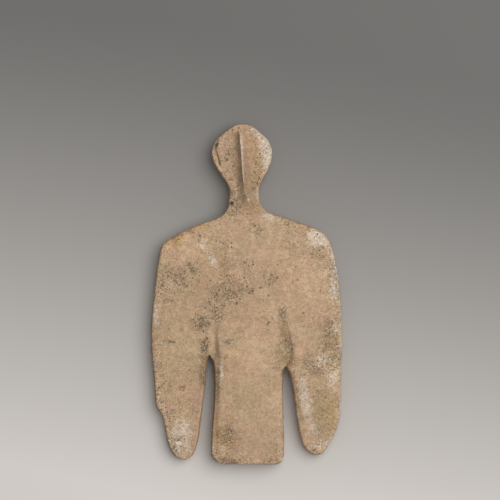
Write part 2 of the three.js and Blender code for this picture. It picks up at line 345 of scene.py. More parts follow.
def face_relief(x, y):
    """The nose ridge, a bell curve exp(-t^1.3) with a sharp top, less the hollow of the cheek, half a sine
    wave sin(pi t^0.6) that is deepest near the nose."""
    up = y / HEIGHT
    aside = x - np.interp(y, nose_line[:, 1], nose_line[:, 0])
    out = np.abs(aside)
    out_share = np.clip(out / np.maximum(half_width(up), 1e-3), 0, 1)
    cheek = np.sin(math.pi * out_share**CHEEK_POWER) * ramp(up, NECK_LEVEL, NECK_LEVEL + CHEEK_RISE)
    reach = NOSE_WIDTH / 2 * (1 - NOSE_LEAN * np.sign(aside))
    ridge = np.exp(-((out / reach) ** NOSE_POWER)) * ramp(up, NOSE_START, NOSE_START + NOSE_RISE)
    fade_out = 1 - ramp(up, NOSE_END - NOSE_FALL, NOSE_END)
    return fade_out * (NOSE_HEIGHT * ridge - CHEEK_HOLLOW * cheek)


def faces(x, y):
    """Levels of the front, the back and the rim between them, how far each place is cut by a saw, and how
    far it is from the outline. Front and back curve away from the rim, halfway up, as quarter circles."""
    to_outline = distance_to([LEFT["outer"], RIGHT["outer"], LEFT["head"], RIGHT["head"], foot], x, y)
    to_arms = distance_to([LEFT["inner"], RIGHT["inner"]], x, y)
    to_trunk = distance_to([LEFT["trunk"], RIGHT["trunk"]], x, y)
    lift = HEAD_LIFT * ramp(y / HEIGHT, SHOULDER_LEVEL, BROW_LEVEL)
    thick = thickness(x, y)
    rim = lift + thick / 2
    sawn = np.minimum(*(left_by_saw(side, to_arms, to_trunk, x, y) for side in (LEFT, RIGHT)))
    rounded = quarter_round(to_outline, EDGE_ROUNDING)
    edge = mix(quarter_round(to_outline, WALL_ROUNDING), rounded, EDGE_SHOULDER)
    front = mix(rim, lift + thick + face_relief(x, y), edge * sawn)
    back = mix(rim, lift, rounded * quarter_round(np.minimum(to_arms, to_trunk), ARM_BEVEL))
    return front, back, rim, 1 - sawn, to_outline


# How many steps the gaps, the chest and the head take up the slab, and how many each row takes across it.
GAP_STEPS = 78
CHEST_STEPS = 126
HEAD_STEPS = 86
EDGE_COLUMNS = 13
TRUNK_COLUMNS = 50
ARM_COLUMNS = 24
WIDEST_ZONE = 0.3
OUTER_STEPS = 2000


def row_places(a, b, ends, inside):
    """Places across rows from a to b, even in the middle, and spaced as 1 - cos(t) in a zone at each end,
    where the slab turns down."""
    width = np.maximum(np.linalg.norm(b - a, axis=1), 1e-6)[:, None]
    zone = np.minimum(GROOVE_WIDTH / width, WIDEST_ZONE)
    turn = 1 - np.cos(np.linspace(0, math.pi / 2, ends + 1))
    middle = np.linspace(0, 1, inside + 1)[1:-1]
    share = np.hstack([zone * turn, mix(zone, 1 - zone, middle), 1 - (zone * turn)[:, ::-1]])
    places = mix(a[:, None], b[:, None], share[..., None])
    places[:, -1] = b
    return places, share


def close_at_both(count):
    """Shares from 0 to 1 that are closer together at both ends: t - sin(2 pi t) / (4 pi)."""
    even = np.linspace(0, 1, count + 1)
    return even - 0.5 * np.sin(2 * math.pi * even) / (2 * math.pi)


gap_rows = close_at_both(GAP_STEPS)
chest_rows = close_at_both(CHEST_STEPS)
head_rows = np.sin(np.linspace(0, math.pi / 2, HEAD_STEPS))

# Three panels of rows cover the slab: the trunk with the chest and the head, and an arm on each side of it.
# They meet along the grooves. The places on the rim, where the front meets the back, are marked.
panels = []
trunk_a = [at(LEFT["trunk"], gap_rows), at(LEFT["groove"], chest_rows[1:-1]), at(LEFT["head"], head_rows)]
trunk_b = [at(RIGHT["trunk"], gap_rows), at(RIGHT["groove"], chest_rows[1:-1]), at(RIGHT["head"], head_rows)]
places, share = row_places(np.vstack(trunk_a), np.vstack(trunk_b), EDGE_COLUMNS, TRUNK_COLUMNS)
fade = np.zeros(len(places))
fade[: len(gap_rows)] = (1 - gap_rows) ** 3
places[..., 1] -= foot_drop(share) * fade[:, None]
on_rim = np.zeros(share.shape, bool)
on_rim[0] = True
on_rim[: len(gap_rows), [0, -1]] = True
on_rim[-len(head_rows) :, [0, -1]] = True
panels.append((places, on_rim))

for side in (LEFT, RIGHT):
    run = at(side["outer"], np.linspace(0, 1, OUTER_STEPS + 1))
    turn_point = np.argmax(run[:, 1] > side["crotch"][1] * HEIGHT) / OUTER_STEPS
    outer_shares = np.append(gap_rows * turn_point, mix(turn_point, 1, chest_rows[1:]))
    outer = at(side["outer"], outer_shares)
    inner = np.vstack([at(side["inner"], gap_rows), at(side["groove"], chest_rows[1:])])
    rim_rows = np.arange(len(outer)) < len(gap_rows)
    rim_rows[-1] = True
    if side is LEFT:
        places, share = row_places(outer, inner, EDGE_COLUMNS, ARM_COLUMNS)
        rim_ends = (np.ones(len(outer), bool), rim_rows)
    else:
        places, share = row_places(inner, outer, EDGE_COLUMNS, ARM_COLUMNS)
        rim_ends = (rim_rows, np.ones(len(outer), bool))
    on_rim = np.zeros(share.shape, bool)
    on_rim[:, 0], on_rim[:, -1] = rim_ends
    panels.append((places, on_rim))


# The skin of the stone, as one closed mesh.
# The idol is carved from one piece, so its panels are welded along their shared edges, and front to back
# along the rim. Sizes are still in millimetres.
WELD_DIGITS = 4

points, quads, sawn_at, inland = [], [], [], []
for places, on_rim in panels:
    x, y = places[..., 0], places[..., 1]
    front, back, rim, sawn, to_outline = faces(x, y)
    rows, columns = x.shape
    number = np.arange(rows * columns).reshape(rows, columns)
    corners = [number[:-1, :-1], number[:-1, 1:], number[1:, 1:], number[1:, :-1]]
    cells = np.stack(corners, axis=-1).reshape(-1, 4)
    for level, order in ((front, [0, 1, 2, 3]), (back, [3, 2, 1, 0])):
        quads.append(cells[:, order] + sum(len(p) for p in points))
        z = np.where(on_rim, rim, level)
        points.append(np.stack([x, y, z], axis=-1).reshape(-1, 3))
        sawn_at.append(sawn.ravel())
        inland.append(to_outline.ravel())
points, quads = np.vstack(points), np.vstack(quads)
sawn_at, inland = np.concatenate(sawn_at), np.concatenate(inland)

rounded_off = np.round(points, WELD_DIGITS)
_, first, welded = np.unique(rounded_off, axis=0, return_index=True, return_inverse=True)
points, sawn_at, inland = points[first], sawn_at[first], inland[first]
quads = welded.ravel()[quads]
triangles = np.vstack([quads[:, [0, 1, 2]], quads[:, [0, 2, 3]]])
whole = (
    (triangles[:, 0] != triangles[:, 1])
    & (triangles[:, 1] != triangles[:, 2])
    & (triangles[:, 2] != triangles[:, 0])
)
triangles = triangles[whole]


def normals_of(points, triangles):
    """Unit normals of the points: the sum of the cross products of the triangles round each."""
    a, b, c = (points[triangles[:, k]] for k in range(3))
    face = np.cross(b - a, c - a)
    total = np.zeros_like(points)
    for k in range(3):
        np.add.at(total, triangles[:, k], face)
    return total / np.maximum(np.linalg.norm(total, axis=1, keepdims=True), 1e-12)


# Wear on the stone.
# Tool work left it gently uneven, weather gave it a fine grain and pits, and knocks took chips off its edges.
LATTICE = 32
rng = np.random.default_rng(11)
lattice = rng.uniform(-1, 1, (LATTICE, LATTICE, LATTICE))


def soft_noise(points, size):
    """Smooth random values from -1 to 1: a lattice of random numbers, this size apart, blended with the
    weight 6t^5 - 15t^4 + 10t^3 along each axis."""
    cell = np.floor(points / size).astype(int)
    t = points / size - cell
    t = t * t * t * (t * (t * 6 - 15) + 10)
    total = np.zeros(len(points))
    for corner in np.ndindex(2, 2, 2):
        weight = np.prod(np.where(corner, t, 1 - t), axis=1)
        total += weight * lattice[tuple(((cell + corner) % LATTICE).T)]
    return total


def patch(points, x, y, length, width, turn):
    """A soft-edged oval patch: exp(-r^3), where r is 1 on an ellipse of these half-axes."""
    c, s = math.cos(math.radians(turn)), math.sin(math.radians(turn))
    dx, dy = points[:, 0] - x, points[:, 1] - y
    r2 = ((c * dx + s * dy) / length) ** 2 + ((c * dy - s * dx) / width) ** 2
    return np.exp(-(r2**1.5))


def strongest(patches, points):
    """The strongest of some patches at each point."""
    return np.max([strength * patch(points, *where) for *where, strength in patches], axis=0)


def uneven(layers):
    """The sum of layers of noise, each with its depth and size in millimetres, and a shift that sets it
    apart."""
    return sum(depth * soft_noise(points + shift, size) for depth, size, shift in layers)


def hollow(points, x, y, z, radius):
    """A round dent: 1 - r^2 inside a ball of this radius, 0 outside."""
    r2 = ((points - (x, y, z)) ** 2).sum(axis=1) / radius**2
    return np.maximum(0, 1 - r2)


# Where pits and dark specks crowd: x from the trunk's middle line, y above the foot, half-length, half-width,
# turn in degrees, strength.
SPECKLED = [
    (-13, 119, 20, 7, 27, 0.7),
    (13, 127, 15, 2.8, 28, 0.6),
    (-13, 145, 12, 15, 0, 0.36),
    (0, 138, 14, 9, 0, 0.3),
    (-31.5, 100, 6.5, 7.5, 0, 0.95),
    (-20, 104.8, 5, 5.5, 0, 0.85),
    (-26.5, 113.8, 2.5, 3, 0, 0.7),
    (3.5, 123, 3.5, 2, 20, 1),
    (-7.1, 114.1, 1.8, 1, 0, 1.2),
    (-13, 128, 9, 10, 0, 0.42),
    (16.6, 130.7, 6, 5, 0, 0.6),
    (-45.2, 129.3, 4, 6, 0, 0.9),
    (-38.6, 139.5, 4, 1.5, -45, 1.8),
    (-36.8, 135.4, 3, 1.5, -48, 1.6),
    (-42.5, 125, 2.5, 3, 0, 0.8),
    (-50, 132, 12, 10, 0, 0.42),
    (-53.7, 122, 10, 8, 0, 0.4),
    (-20, 153, 7, 9, 0, 0.35),
    (-33, 160.5, 3, 3, 0, 0.7),
    (6.7, 166.6, 6, 5, 0, 0.55),
    (50, 149, 5, 5, 0, 0.5),
    (60, 136, 4, 9, 0, 0.5),
    (25.7, 106.8, 2.8, 6, 10, 0.95),
    (29.2, 83.3, 3.5, 5.5, 0, 0.9),
    (23.3, 83, 2.5, 8, 0, 0.6),
    (46, 71, 11, 8, 0, 0.72),
    (38, 58, 5, 12, 10, 0.45),
    (59.4, 96.3, 7, 8, 0, 0.6),
    (57, 80, 9, 12, 0, 0.55),
    (-53, 86.5, 2.8, 0.8, -5, 1.4),
    (-29.8, 83.7, 3.5, 7, 0, 0.8),
    (-20.2, 60.5, 2, 11, 0, 0.85),
    (-30, 66, 2.2, 18, -6, 0.6),
    (-11.5, 87.2, 5, 2.5, 0, 0.5),
    (-12.2, 22.6, 4.5, 6, 0, 0.6),
    (16.6, 34.5, 7, 4, 0, 0.35),
    (-48.7, 18.3, 4.5, 1.6, 10, 1),
    (8.9, 211, 4, 18, 4, 0.7),
    (6.2, 196, 3, 7, 0, 0.65),
    (-9.7, 190.2, 1.5, 2.4, 0, 1.1),
    (-1.7, 189.4, 1, 2.5, 0, 1),
    (-12, 204, 4, 8, -25, 0.3),
    (-9, 182.7, 4, 9, 0, 0.55),
    (-9.9, 217.5, 1.6, 2.6, 0, 0.6),
    (-13.2, 218, 3.2, 4, 0, 0.5),
    (35.6, 49, 1.7, 20, 8, 0.6),
    (44, 60, 3, 9, 0, 0.45),
    (-12, 3, 9, 2, 0, 0.5),
    (-52, 10, 7, 5, 0, 0.4),
]
# Layers of wear: depth, size and shift of each. The back has a share of the front's marks.
RUBBED = [(0.28, 24, 0), (0.13, 8, 71), (0.08, 3.2, 37)]
ROUGH_EDGE = [(0.32, 2.6, 53), (0.16, 6.5, 83)]
EDGE_LOSS = 0.1
GRAIN_LOSS = 0.02
EDGE_REACH = 8
BACK_SHARE = 0.3

normals = normals_of(points, triangles)
in_front = mix(BACK_SHARE, 1, ramp(normals[:, 2], -0.9, -0.3))
near_edge = np.exp(-inland / EDGE_REACH) * (1 + soft_noise(points + 61, 14))
broken = 0.75 + 0.5 * soft_noise(points + 19, 7) + 0.35 * soft_noise(points + 29, 3.3)
everywhere = 0.17 + 0.12 * soft_noise(points + 43, 12) + 0.16 * near_edge
speckle = np.clip(everywhere + strongest(SPECKLED, points) * broken * in_front, 0, 1)
grain_depth = 0.05 + 0.06 * speckle
wear = uneven(RUBBED)
wear += grain_depth * soft_noise(points + 113, 1.7) - GRAIN_LOSS
wear += (1 - np.abs(normals[:, 2])) * (uneven(ROUGH_EDGE) - EDGE_LOSS)

# A low tool ridge across the chest, a crease by the head's left edge, and an old flake on the left hand,
# below a slanting line through its corner.
RIDGE_RUN = [(-22, 106), (-13, 109), (6, 116), (27, 128), (36, 136)]
RIDGE_HEIGHT = 0.3
RIDGE_REACH = 2.4
CREASE_RUN = [(-20.4, 228), (-21.8, 223), (-19.6, 215.4), (-18.5, 211)]
CREASE_DEPTH = 0.9
CREASE_REACH = 1.1
CREASE_SHADE = 0.8
CREASE_SHADE_REACH = 0.8
FLAKE_CORNER = (-37, 47)
FLAKE_SLOPE = 0.56
FLAKE_DEPTH = 0.35
FLAKE_FADE = (-30, -34)

facing_up = np.clip(normals[:, 2], 0, 1)
x, y = points[:, 0], points[:, 1]
to_ridge = distance_to([np.array(RIDGE_RUN, float)], x, y)
wear += RIDGE_HEIGHT * facing_up * np.exp(-((to_ridge / RIDGE_REACH) ** 2))
to_crease = distance_to([np.array(CREASE_RUN, float)], x, y)
wear -= CREASE_DEPTH * facing_up * np.exp(-((to_crease / CREASE_REACH) ** 2))
# Painted shade darkens the colour along the crease.
crevice_shade = CREASE_SHADE * facing_up * np.exp(-((to_crease / CREASE_SHADE_REACH) ** 2))
above_flake = (y - FLAKE_CORNER[1]) - FLAKE_SLOPE * (x - FLAKE_CORNER[0])
wear -= FLAKE_DEPTH * facing_up * (1 - ramp(above_flake, -1, 1)) * ramp(x, *FLAKE_FADE)
points += normals * wear[:, None]

# Pits, crowded where the specks are. Each one's depth is a share of its radius, and its colour is darkened
# inside with painted shade.
PIT_TRIES = 2600
PIT_SHARE = 0.3
PITS_ELSEWHERE = 0.015
PIT_RADII = (0.6, 1.25)
PIT_DEPTH = 0.32
PIT_SHADE = 0.4

candidates = points[rng.integers(0, len(points), PIT_TRIES)]
likelihood = PITS_ELSEWHERE + strongest(SPECKLED, candidates)
pits = candidates[rng.random(len(candidates)) < PIT_SHARE * likelihood]
for pit in pits:
    radius = rng.uniform(*PIT_RADII)
    near = np.abs(points - pit).max(axis=1) < radius
    dent = hollow(points[near], *pit, radius)
    points[near] -= normals[near] * (PIT_DEPTH * radius * dent)[:, None]
    crevice_shade[near] = np.maximum(crevice_shade[near], PIT_SHADE * dent)

# Chips and single pits: x, y, radius, depth. Each takes the skin inwards at its own place on the edge, and a
# hole narrower than a chip gets painted shade inside, darker the wider it is.
NARROWEST_CHIP = 1.6
NARROWEST_HOLE = 0.7
HOLE_SHADE = (0.35, 1.2)
CHIP_REACH = 1.2
FRONT_ABOVE = 6
CHIPS = [
    (-10.4, 184, 1.5, 0.8),
    (-20.6, 225, 1.3, 0.9),
    (64.6, 39.2, 3, 1),
    (-52.8, 17.5, 2.6, 0.9),
    (-47, 16.4, 2, 0.6),
    (-56.5, 26, 3, 0.7),
    (-20.5, 5, 4, 1.1),
    (-11.5, 0.6, 4, 2),
    (-4, 0.2, 2.6, 1.2),
    (21, 2.5, 3, 1.1),
    (-59.2, 155.6, 3, 0.6),
    (-66.2, 112, 3, 0.5),
    (-67, 88, 3.5, 0.5),
    (66.4, 74, 3, 0.5),
    (62.5, 140, 3, 0.5),
    (56, 160, 3.5, 0.6),
    (-40, 163.5, 2.5, 0.5),
    (34, 170, 2.5, 0.4),
]


def front_level(points, x, y):
    """The level of the front point that is nearest to this place, seen from above."""
    aside = np.hypot(points[:, 0] - x, points[:, 1] - y)
    return points[np.argmin(np.where(points[:, 2] > FRONT_ABOVE, aside, np.inf)), 2]


for x, y, radius, depth in CHIPS:
    dent = hollow(points, x, y, front_level(points, x, y), radius * CHIP_REACH)
    points -= normals * (depth * dent)[:, None]
    if radius < NARROWEST_CHIP:
        crevice_shade = np.maximum(crevice_shade, mix(*HOLE_SHADE, radius - NARROWEST_HOLE) * dent)

# Onto the solid's origin, in metres, inside the solid's box, and no lower than what the idol lies on.
middle = ((LEFT["outer"][:, 0].min() + RIGHT["outer"][:, 0].max()) / 2, HEIGHT / 2)
points[:, :2] -= middle
points /= 1000
points = np.clip(points, np.array(cad_low), np.array(cad_high))

mesh = bpy.data.meshes.new("idol_stone")
mesh.vertices.add(len(points))
mesh.vertices.foreach_set("co", points.ravel())
mesh.loops.add(triangles.size)
mesh.loops.foreach_set("vertex_index", triangles.ravel())
mesh.polygons.add(len(triangles))
mesh.polygons.foreach_set("loop_start", np.arange(0, triangles.size, 3))
mesh.update(calc_edges=True)
mesh.polygons.foreach_set("use_smooth", np.ones(len(triangles), bool))
mesh.validate()
idol = bpy.data.objects.new("idol_stone", mesh)
bpy.context.scene.collection.objects.link(idol)
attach(idol, "root")
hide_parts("idol")


# The stone's colours.
# Warm beige with pink and olive clouds, brown in the saw cuts, rubbed pale on a few edges, and peppered with
# small black mineral specks. Painted shade lies on walls that face left, in the crease, pits and small holes,
# and along the nose ridge and the left arm's edge, and painted highlights on right-facing edges and the nose
# crest. The clouds are patches that the material's own noise breaks up.

# Where the stone is rubbed pale, with a painted highlight on the nose crest, and where it is stained: x, y,
# half-length, half-width, turn, strength.
WORN_AND_CREST_HIGHLIGHT = [
    (49.6, 159.5, 8, 6, -25, 1),
    (61, 141, 3, 13, 5, 0.65),
    (61, 123, 3.5, 8, 0, 0.75),
    (62, 96, 3, 4, 0, 0.7),
    (52, 74, 6, 6, 0, 0.62),
    (61, 60, 4, 9, 0, 0.66),
    (41.6, 46, 22, 4.4, -78, 0.66),
    (46, 26, 8, 5, -65, 0.5),
    (-46, 20, 9, 14, -10, 0.78),
    (14.4, 220, 5, 14, 8, 1.2),
    (8.5, 231.5, 9, 2.4, -38, 0.85),
    # These two thin lines along the nose crest are a painted highlight.
    (-3.4, 222, 1.1, 13, 3, 0.95),
    (-2.6, 206, 0.9, 9, 3, 0.75),
    (52, 14, 8, 5, 0, 0.6),
    (15.2, 173.9, 6, 2.5, -20, 0.66),
    (-24, 144.5, 9, 2.4, -66, 0.62),
    (-31, 155, 4, 5, 0, 0.45),
    (-63.5, 104, 2.5, 9, 0, 0.6),
    (-17.3, 66, 1.5, 11, 0, 0.7),
    (-7, 190, 1.1, 2.2, 0, 0.9),
    (1.2, 186.5, 0.9, 2.4, 0, 0.9),
]
OCHRE = [
    (-51, 158, 12, 4.5, 22, 1.05),
    (-34, 166, 11, 2.6, 21, 0.75),
    (42, 167, 16, 2.6, -15, 0.75),
    (7.6, 210, 3.8, 19, 5, 0.72),
    (-16, 18, 9, 6, 0, 0.5),
    (-10, 33, 4, 3, 0, 0.6),
    (-48, 100, 12, 14, 0, 0.25),
    (64.5, 38, 2.5, 6, 0, 0.6),
    (59, 38, 7, 18, 6, 0.6),
    (-21, 26, 2.2, 20, 0, 0.85),
    (30, 150, 20, 12, 0, 0.2),
]
BROWN = [
    (27.5, 90, 4.5, 21, 11, 0.75),
    (30.5, 74, 7, 6, 0, 0.85),
    (35.8, 49, 1.7, 20, 8, 0.6),
    (-16, 140, 8, 14, 20, 0.3),
    (-30, 73, 2.6, 22, -6, 1),
    (-20.6, 58, 2.2, 22, 2, 0.85),
    (59, 88, 8, 17, 0, 0.65),
    (48, 68, 14, 7, 0, 0.4),
    (-13, 20, 10, 9, 0, 0.75),
    (0, 182, 12, 9, 0, 0.6),
    (-50, 132, 12, 10, 0, 0.32),
    (-12, 124, 14, 11, 20, 0.42),
    (-29, 102, 9, 8, 25, 0.45),
    (22.5, 75, 4, 12, 0, 0.5),
    (-45.2, 54.2, 2.8, 2.6, 0, 1.1),
    (18, 56, 4, 6, 0, 0.5),
    (-20.8, 22, 1.3, 17, 0, 0.8),
    (8.9, 212, 3.4, 16, 5, 0.3),
    (-13, 218.5, 4, 5, 0, 0.55),
    (-38.4, 138.5, 5, 2.2, -50, 1),
    (-14, 4, 9, 2.6, 0, 0.65),
    (17, 3, 7, 2, 0, 0.6),
]
OLIVE = [
    (53, 38, 7, 22, 8, 0.85),
    (-50, 80, 15, 22, 0, 0.75),
    (0, 48, 17, 13, 0, 0.65),
    (-49, 45, 9, 18, 0, 0.35),
    (-32, 152, 14, 9, 0, 0.3),
    (-12, 179, 6, 8, 0, 0.6),
    (-36, 68, 6, 11, 0, 0.55),
    (-18, 45, 8, 16, 0, 0.3),
    (-1, 190, 10, 6, 0, 0.4),
]
# Broad lighter and darker areas of the stone, laid out the same way, with painted shade and highlight along
# the nose ridge and painted shade along the left arm's outer edge. The last number is the share by which each
# changes the stone's brightness.
TONES_AND_SHADING = [
    (-40, 154, 20, 10, 20, 0.15),
    (-49, 81, 12, 14, 0, 0.14),
    (-45, 42, 9, 20, 0, 0.1),
    (39, 136, 15, 14, 0, 0.1),
    (3, 78, 17, 14, 0, 0.13),
    (-25, 91, 3.2, 13, 0, 0.16),
    (52, 92, 12, 10, 0, -0.06),
    (53, 39, 11, 22, 0, -0.1),
    (-14, 20, 9, 8, 0, -0.06),
    (14, 16, 10, 12, 0, -0.1),
    (-21, 46, 3, 30, 0, -0.15),
    (-14, 222, 5, 6, 0, -0.12),
    (0, 182, 13, 10, 0, -0.08),
    # From here on the nose ridge and its cheeks: painted shade and highlight that set the ridge's shading,
    # and partly dirt in the valleys beside it.
    (0.9, 202, 2.9, 14, 5.6, -0.24),
    (1, 219, 2.8, 12, 5.6, -0.14),
    (-0.6, 209, 1.7, 22, 3, -0.07),
    (-3, 204, 1, 10, 3, 0.08),
    (5, 203, 3, 11, 0, -0.13),
    (-5.4, 199, 2.6, 12, 5, -0.15),
    # Painted shade along the left arm's outer edge.
    (-66, 82, 2.6, 50, 0, -0.09),
    # Again on the nose ridge and its cheeks: painted shade and highlight, and partly dirt in the valleys.
    (9, 215, 2, 14, 4, 0.2),
    (-13.5, 212, 6, 18, 5, -0.06),
    (-6.4, 211, 3, 24, 5.6, -0.05),
    (-30, 72, 2.6, 24, -6, -0.12),
]
# Single dark specks that stand out: x, y, radius.
MARKS = [
    (-10, 235.4, 0.8),
    (-5.6, 236.6, 0.7),
    (2.2, 236.2, 0.6),
    (-20.9, 225.4, 1),
    (-21.1, 223.4, 0.7),
    (-13.8, 214.4, 0.9),
    (-9.4, 209.8, 0.7),
    (5.8, 168, 0.8),
    (-10.4, 184, 1.1),
    (-32.6, 160.9, 1),
    (-18.2, 156.4, 0.6),
    (49.6, 162.3, 0.7),
    (21.5, 140.9, 0.6),
    (21.4, 131.5, 0.9),
    (17.6, 133.4, 0.7),
    (35.5, 130.2, 0.6),
    (9.6, 124.8, 0.8),
    (4.4, 122.4, 1.1),
    (1.6, 121, 0.8),
    (15.2, 119.1, 0.8),
    (51.7, 122.6, 0.7),
    (-6.9, 113.8, 1),
    (-22, 107.9, 0.8),
    (-32.2, 97.8, 1.1),
    (39.8, 106.9, 0.6),
    (14.7, 99.3, 0.8),
    (-53.7, 55.6, 0.6),
    (18.6, 68.4, 0.6),
    (27.5, 87.5, 1),
    (-29.8, 86.4, 1),
    (-10.8, 24.5, 0.9),
    (64.4, 41.2, 1),
]
in_mm = points * 1000
in_mm[:, :2] += middle


def give(name, values):
    """Stores one number per point on the mesh, for the material to read."""
    stored = mesh.attributes.new(name, "FLOAT", "POINT")
    stored.data.foreach_set("value", values.astype(np.float32))


worn_and_crest_highlight = in_front * strongest(WORN_AND_CREST_HIGHLIGHT, in_mm)
brown = in_front * strongest(BROWN, in_mm)
give("speckle", speckle)
give("worn_and_crest_highlight", worn_and_crest_highlight)
give("ochre", in_front * strongest(OCHRE, in_mm))
give("olive", in_front * strongest(OLIVE, in_mm))
give("sawn", sawn_at)
give("brown", brown)
give("rough", np.clip(0.08 + 0.5 * near_edge + 0.75 * speckle + 0.5 * worn_and_crest_highlight + 0.35 * brown, 0, 1))

# Walls that face left get painted shade, but not on the right arm, and the right edge gets a painted
# highlight. Both show only where the wall turns up to the front.
RIGHT_GAP = (28, 31)
HIGHLIGHT_REACH = 4

turned_up = ramp(normals[:, 2], 0, 0.3)
off_arm = ramp(in_mm[:, 0], RIGHT_GAP[1], RIGHT_GAP[0])
give("left_wall_shade", turned_up * off_arm * np.clip(-normals[:, 0] - 0.3 * normals[:, 1], 0, 1))
# Painted highlight on edges that face right, near the outline.
give("right_wall_highlight", turned_up * np.exp(-inland / HIGHLIGHT_REACH) * np.clip(1.4 * normals[:, 0], 0, 1))
give("crevice_shade", crevice_shade)
# The stone's own broad tone, with painted shading on the nose ridge and the left arm's outer edge.
give("tone_and_shading", in_front * np.sum([strength * patch(in_mm, *where) for *where, strength in TONES_AND_SHADING], axis=0))

stone = bpy.data.materials.new("stone")
stone.use_nodes = True
nodes, links = stone.node_tree.nodes, stone.node_tree.links
shader = nodes["Principled BSDF"]
shader.inputs["Specular IOR Level"].default_value = 0.25


def node(kind, inputs, **options):
    """Adds a node with these options. Each input takes a value, or another node's output."""
    made = nodes.new(kind)
    for name, value in options.items():
        setattr(made, name, value)
    for name, value in inputs.items():
        if isinstance(value, bpy.types.NodeSocket):
            links.new(value, made.inputs[name])
        else:
            made.inputs[name].default_value = value
    return made


place = node("ShaderNodeTexCoord", {}).outputs["Object"]


def noise(size_mm, detail=3, shift=0):
    """Noise with features of about this size, centred on 0.5."""
    moved = node("ShaderNodeVectorMath", {0: place, 1: (shift, shift, shift)}, operation="ADD").outputs[0]
    inputs = {"Vector": moved, "Scale": 1000 / size_mm, "Detail": detail, "Roughness": 0.6}
    return node("ShaderNodeTexNoise", inputs).outputs["Fac"]


def between(value, low, high, to_low=0.0, to_high=1.0):
    """Maps low..high onto to_low..to_high, and holds it there."""
    inputs = {"Value": value, "From Min": low, "From Max": high, "To Min": to_low, "To Max": to_high}
    return node("ShaderNodeMapRange", inputs).outputs[0]


def maths(operation, a, b):
    """One step of arithmetic on two numbers."""
    return node("ShaderNodeMath", {0: a, 1: b}, operation=operation).outputs[0]


def blend_rgba(share, a, b, how="MIX"):
    """Colour a turning into colour b, or into a times b, through the colour sockets of the mix node."""
    made = nodes.new("ShaderNodeMix")
    made.data_type = "RGBA"
    made.blend_type = how
    for index, value in ((0, share), (6, a), (7, b)):
        if isinstance(value, bpy.types.NodeSocket):
            links.new(value, made.inputs[index])
        else:
            made.inputs[index].default_value = value if index == 0 else (*value, 1)
    return made.outputs[2]


def layer(name):
    """One of the numbers that the mesh stores."""
    return node("ShaderNodeAttribute", {}, attribute_name=name).outputs["Fac"]


RAGGEDNESS = 1.3
SOFTNESS = 0.16


def mask(name, size_mm, shift):
    """A patch whose edge follows noise: the layer plus the noise times 1.3, spread so that it is 0 a little
    below 1, and 1 well above it."""
    ragged = maths("ADD", layer(name), maths("MULTIPLY", noise(size_mm, 4, shift), RAGGEDNESS))
    return between(ragged, 1 - SOFTNESS, 1 + 3 * SOFTNESS)


def flecks(name, size_mm, rare, common, softness, shift):
    """Ragged spots where noise rises above a level, which falls from rare to common as this layer fills."""
    level = between(layer(name), 0, 1, rare, common)
    return between(maths("SUBTRACT", noise(size_mm, 3, shift), level), 0, softness)


# Places shaken by fine noise, by up to this many metres, so that round spots come out ragged.
SHAKE = 0.0011
shaking = node("ShaderNodeTexNoise", {"Vector": place, "Scale": 1100, "Detail": 2}).outputs["Color"]
shaken = {0: shaking, 1: (SHAKE, SHAKE, SHAKE), 2: place}
scattered = node("ShaderNodeVectorMath", shaken, operation="MULTIPLY_ADD").outputs[0]


FEWEST = 0.015
SHOWN_FADE = 0.04
SPOT_FADE = 0.14


def dots(name, apart_mm, smallest, largest, most, shift):
    """Separate ragged spots round random places this far apart, with radii as shares of that. The share of
    the places that has a spot follows the layer, up to most."""
    away = (shift, shift, shift)
    moved = node("ShaderNodeVectorMath", {0: scattered, 1: away}, operation="ADD").outputs[0]
    cell = node("ShaderNodeTexVoronoi", {"Vector": moved, "Scale": 1000 / apart_mm})
    pick, grow, _ = node("ShaderNodeSeparateColor", {0: cell.outputs["Color"]}).outputs
    share = between(layer(name), 0.2, 1, FEWEST, most)
    shown = between(maths("SUBTRACT", share, pick), 0, SHOWN_FADE)
    radius = between(grow, 0, 1, smallest, largest)
    spot = between(maths("SUBTRACT", radius, cell.outputs["Distance"]), 0, SPOT_FADE)
    return maths("MULTIPLY", shown, spot)


BEIGE = (0.455, 0.298, 0.182)
LIGHT_BEIGE = (0.515, 0.362, 0.224)
PINK = (0.49, 0.315, 0.208)
KHAKI = (0.43, 0.33, 0.2)
UMBER = (0.36, 0.25, 0.15)
OLIVE_STAIN = (0.4, 0.3, 0.165)
OCHRE_STAIN = (0.47, 0.29, 0.125)
BROWN_STAIN = (0.28, 0.18, 0.088)
# Pale wear colour, also used for the painted highlight on the nose crest.
PALE_WEAR_AND_HIGHLIGHT = (0.66, 0.57, 0.46)
DUSKY = (0.24, 0.19, 0.125)
SAW_BROWN = (0.25, 0.18, 0.115)
# The next colour is painted shade for walls that face left, and the one after it a painted highlight for
# right edges.
WALL_SHADE = (0.14, 0.095, 0.055)
WALL_HIGHLIGHT = (0.62, 0.56, 0.47)
LIGHT_FLECK = (0.72, 0.61, 0.48)
DARK_SPECK = (0.105, 0.07, 0.041)
# The next colour is the painted shade in the crease, the pits and the small holes.
CREVICE_SHADE = (0.06, 0.042, 0.025)

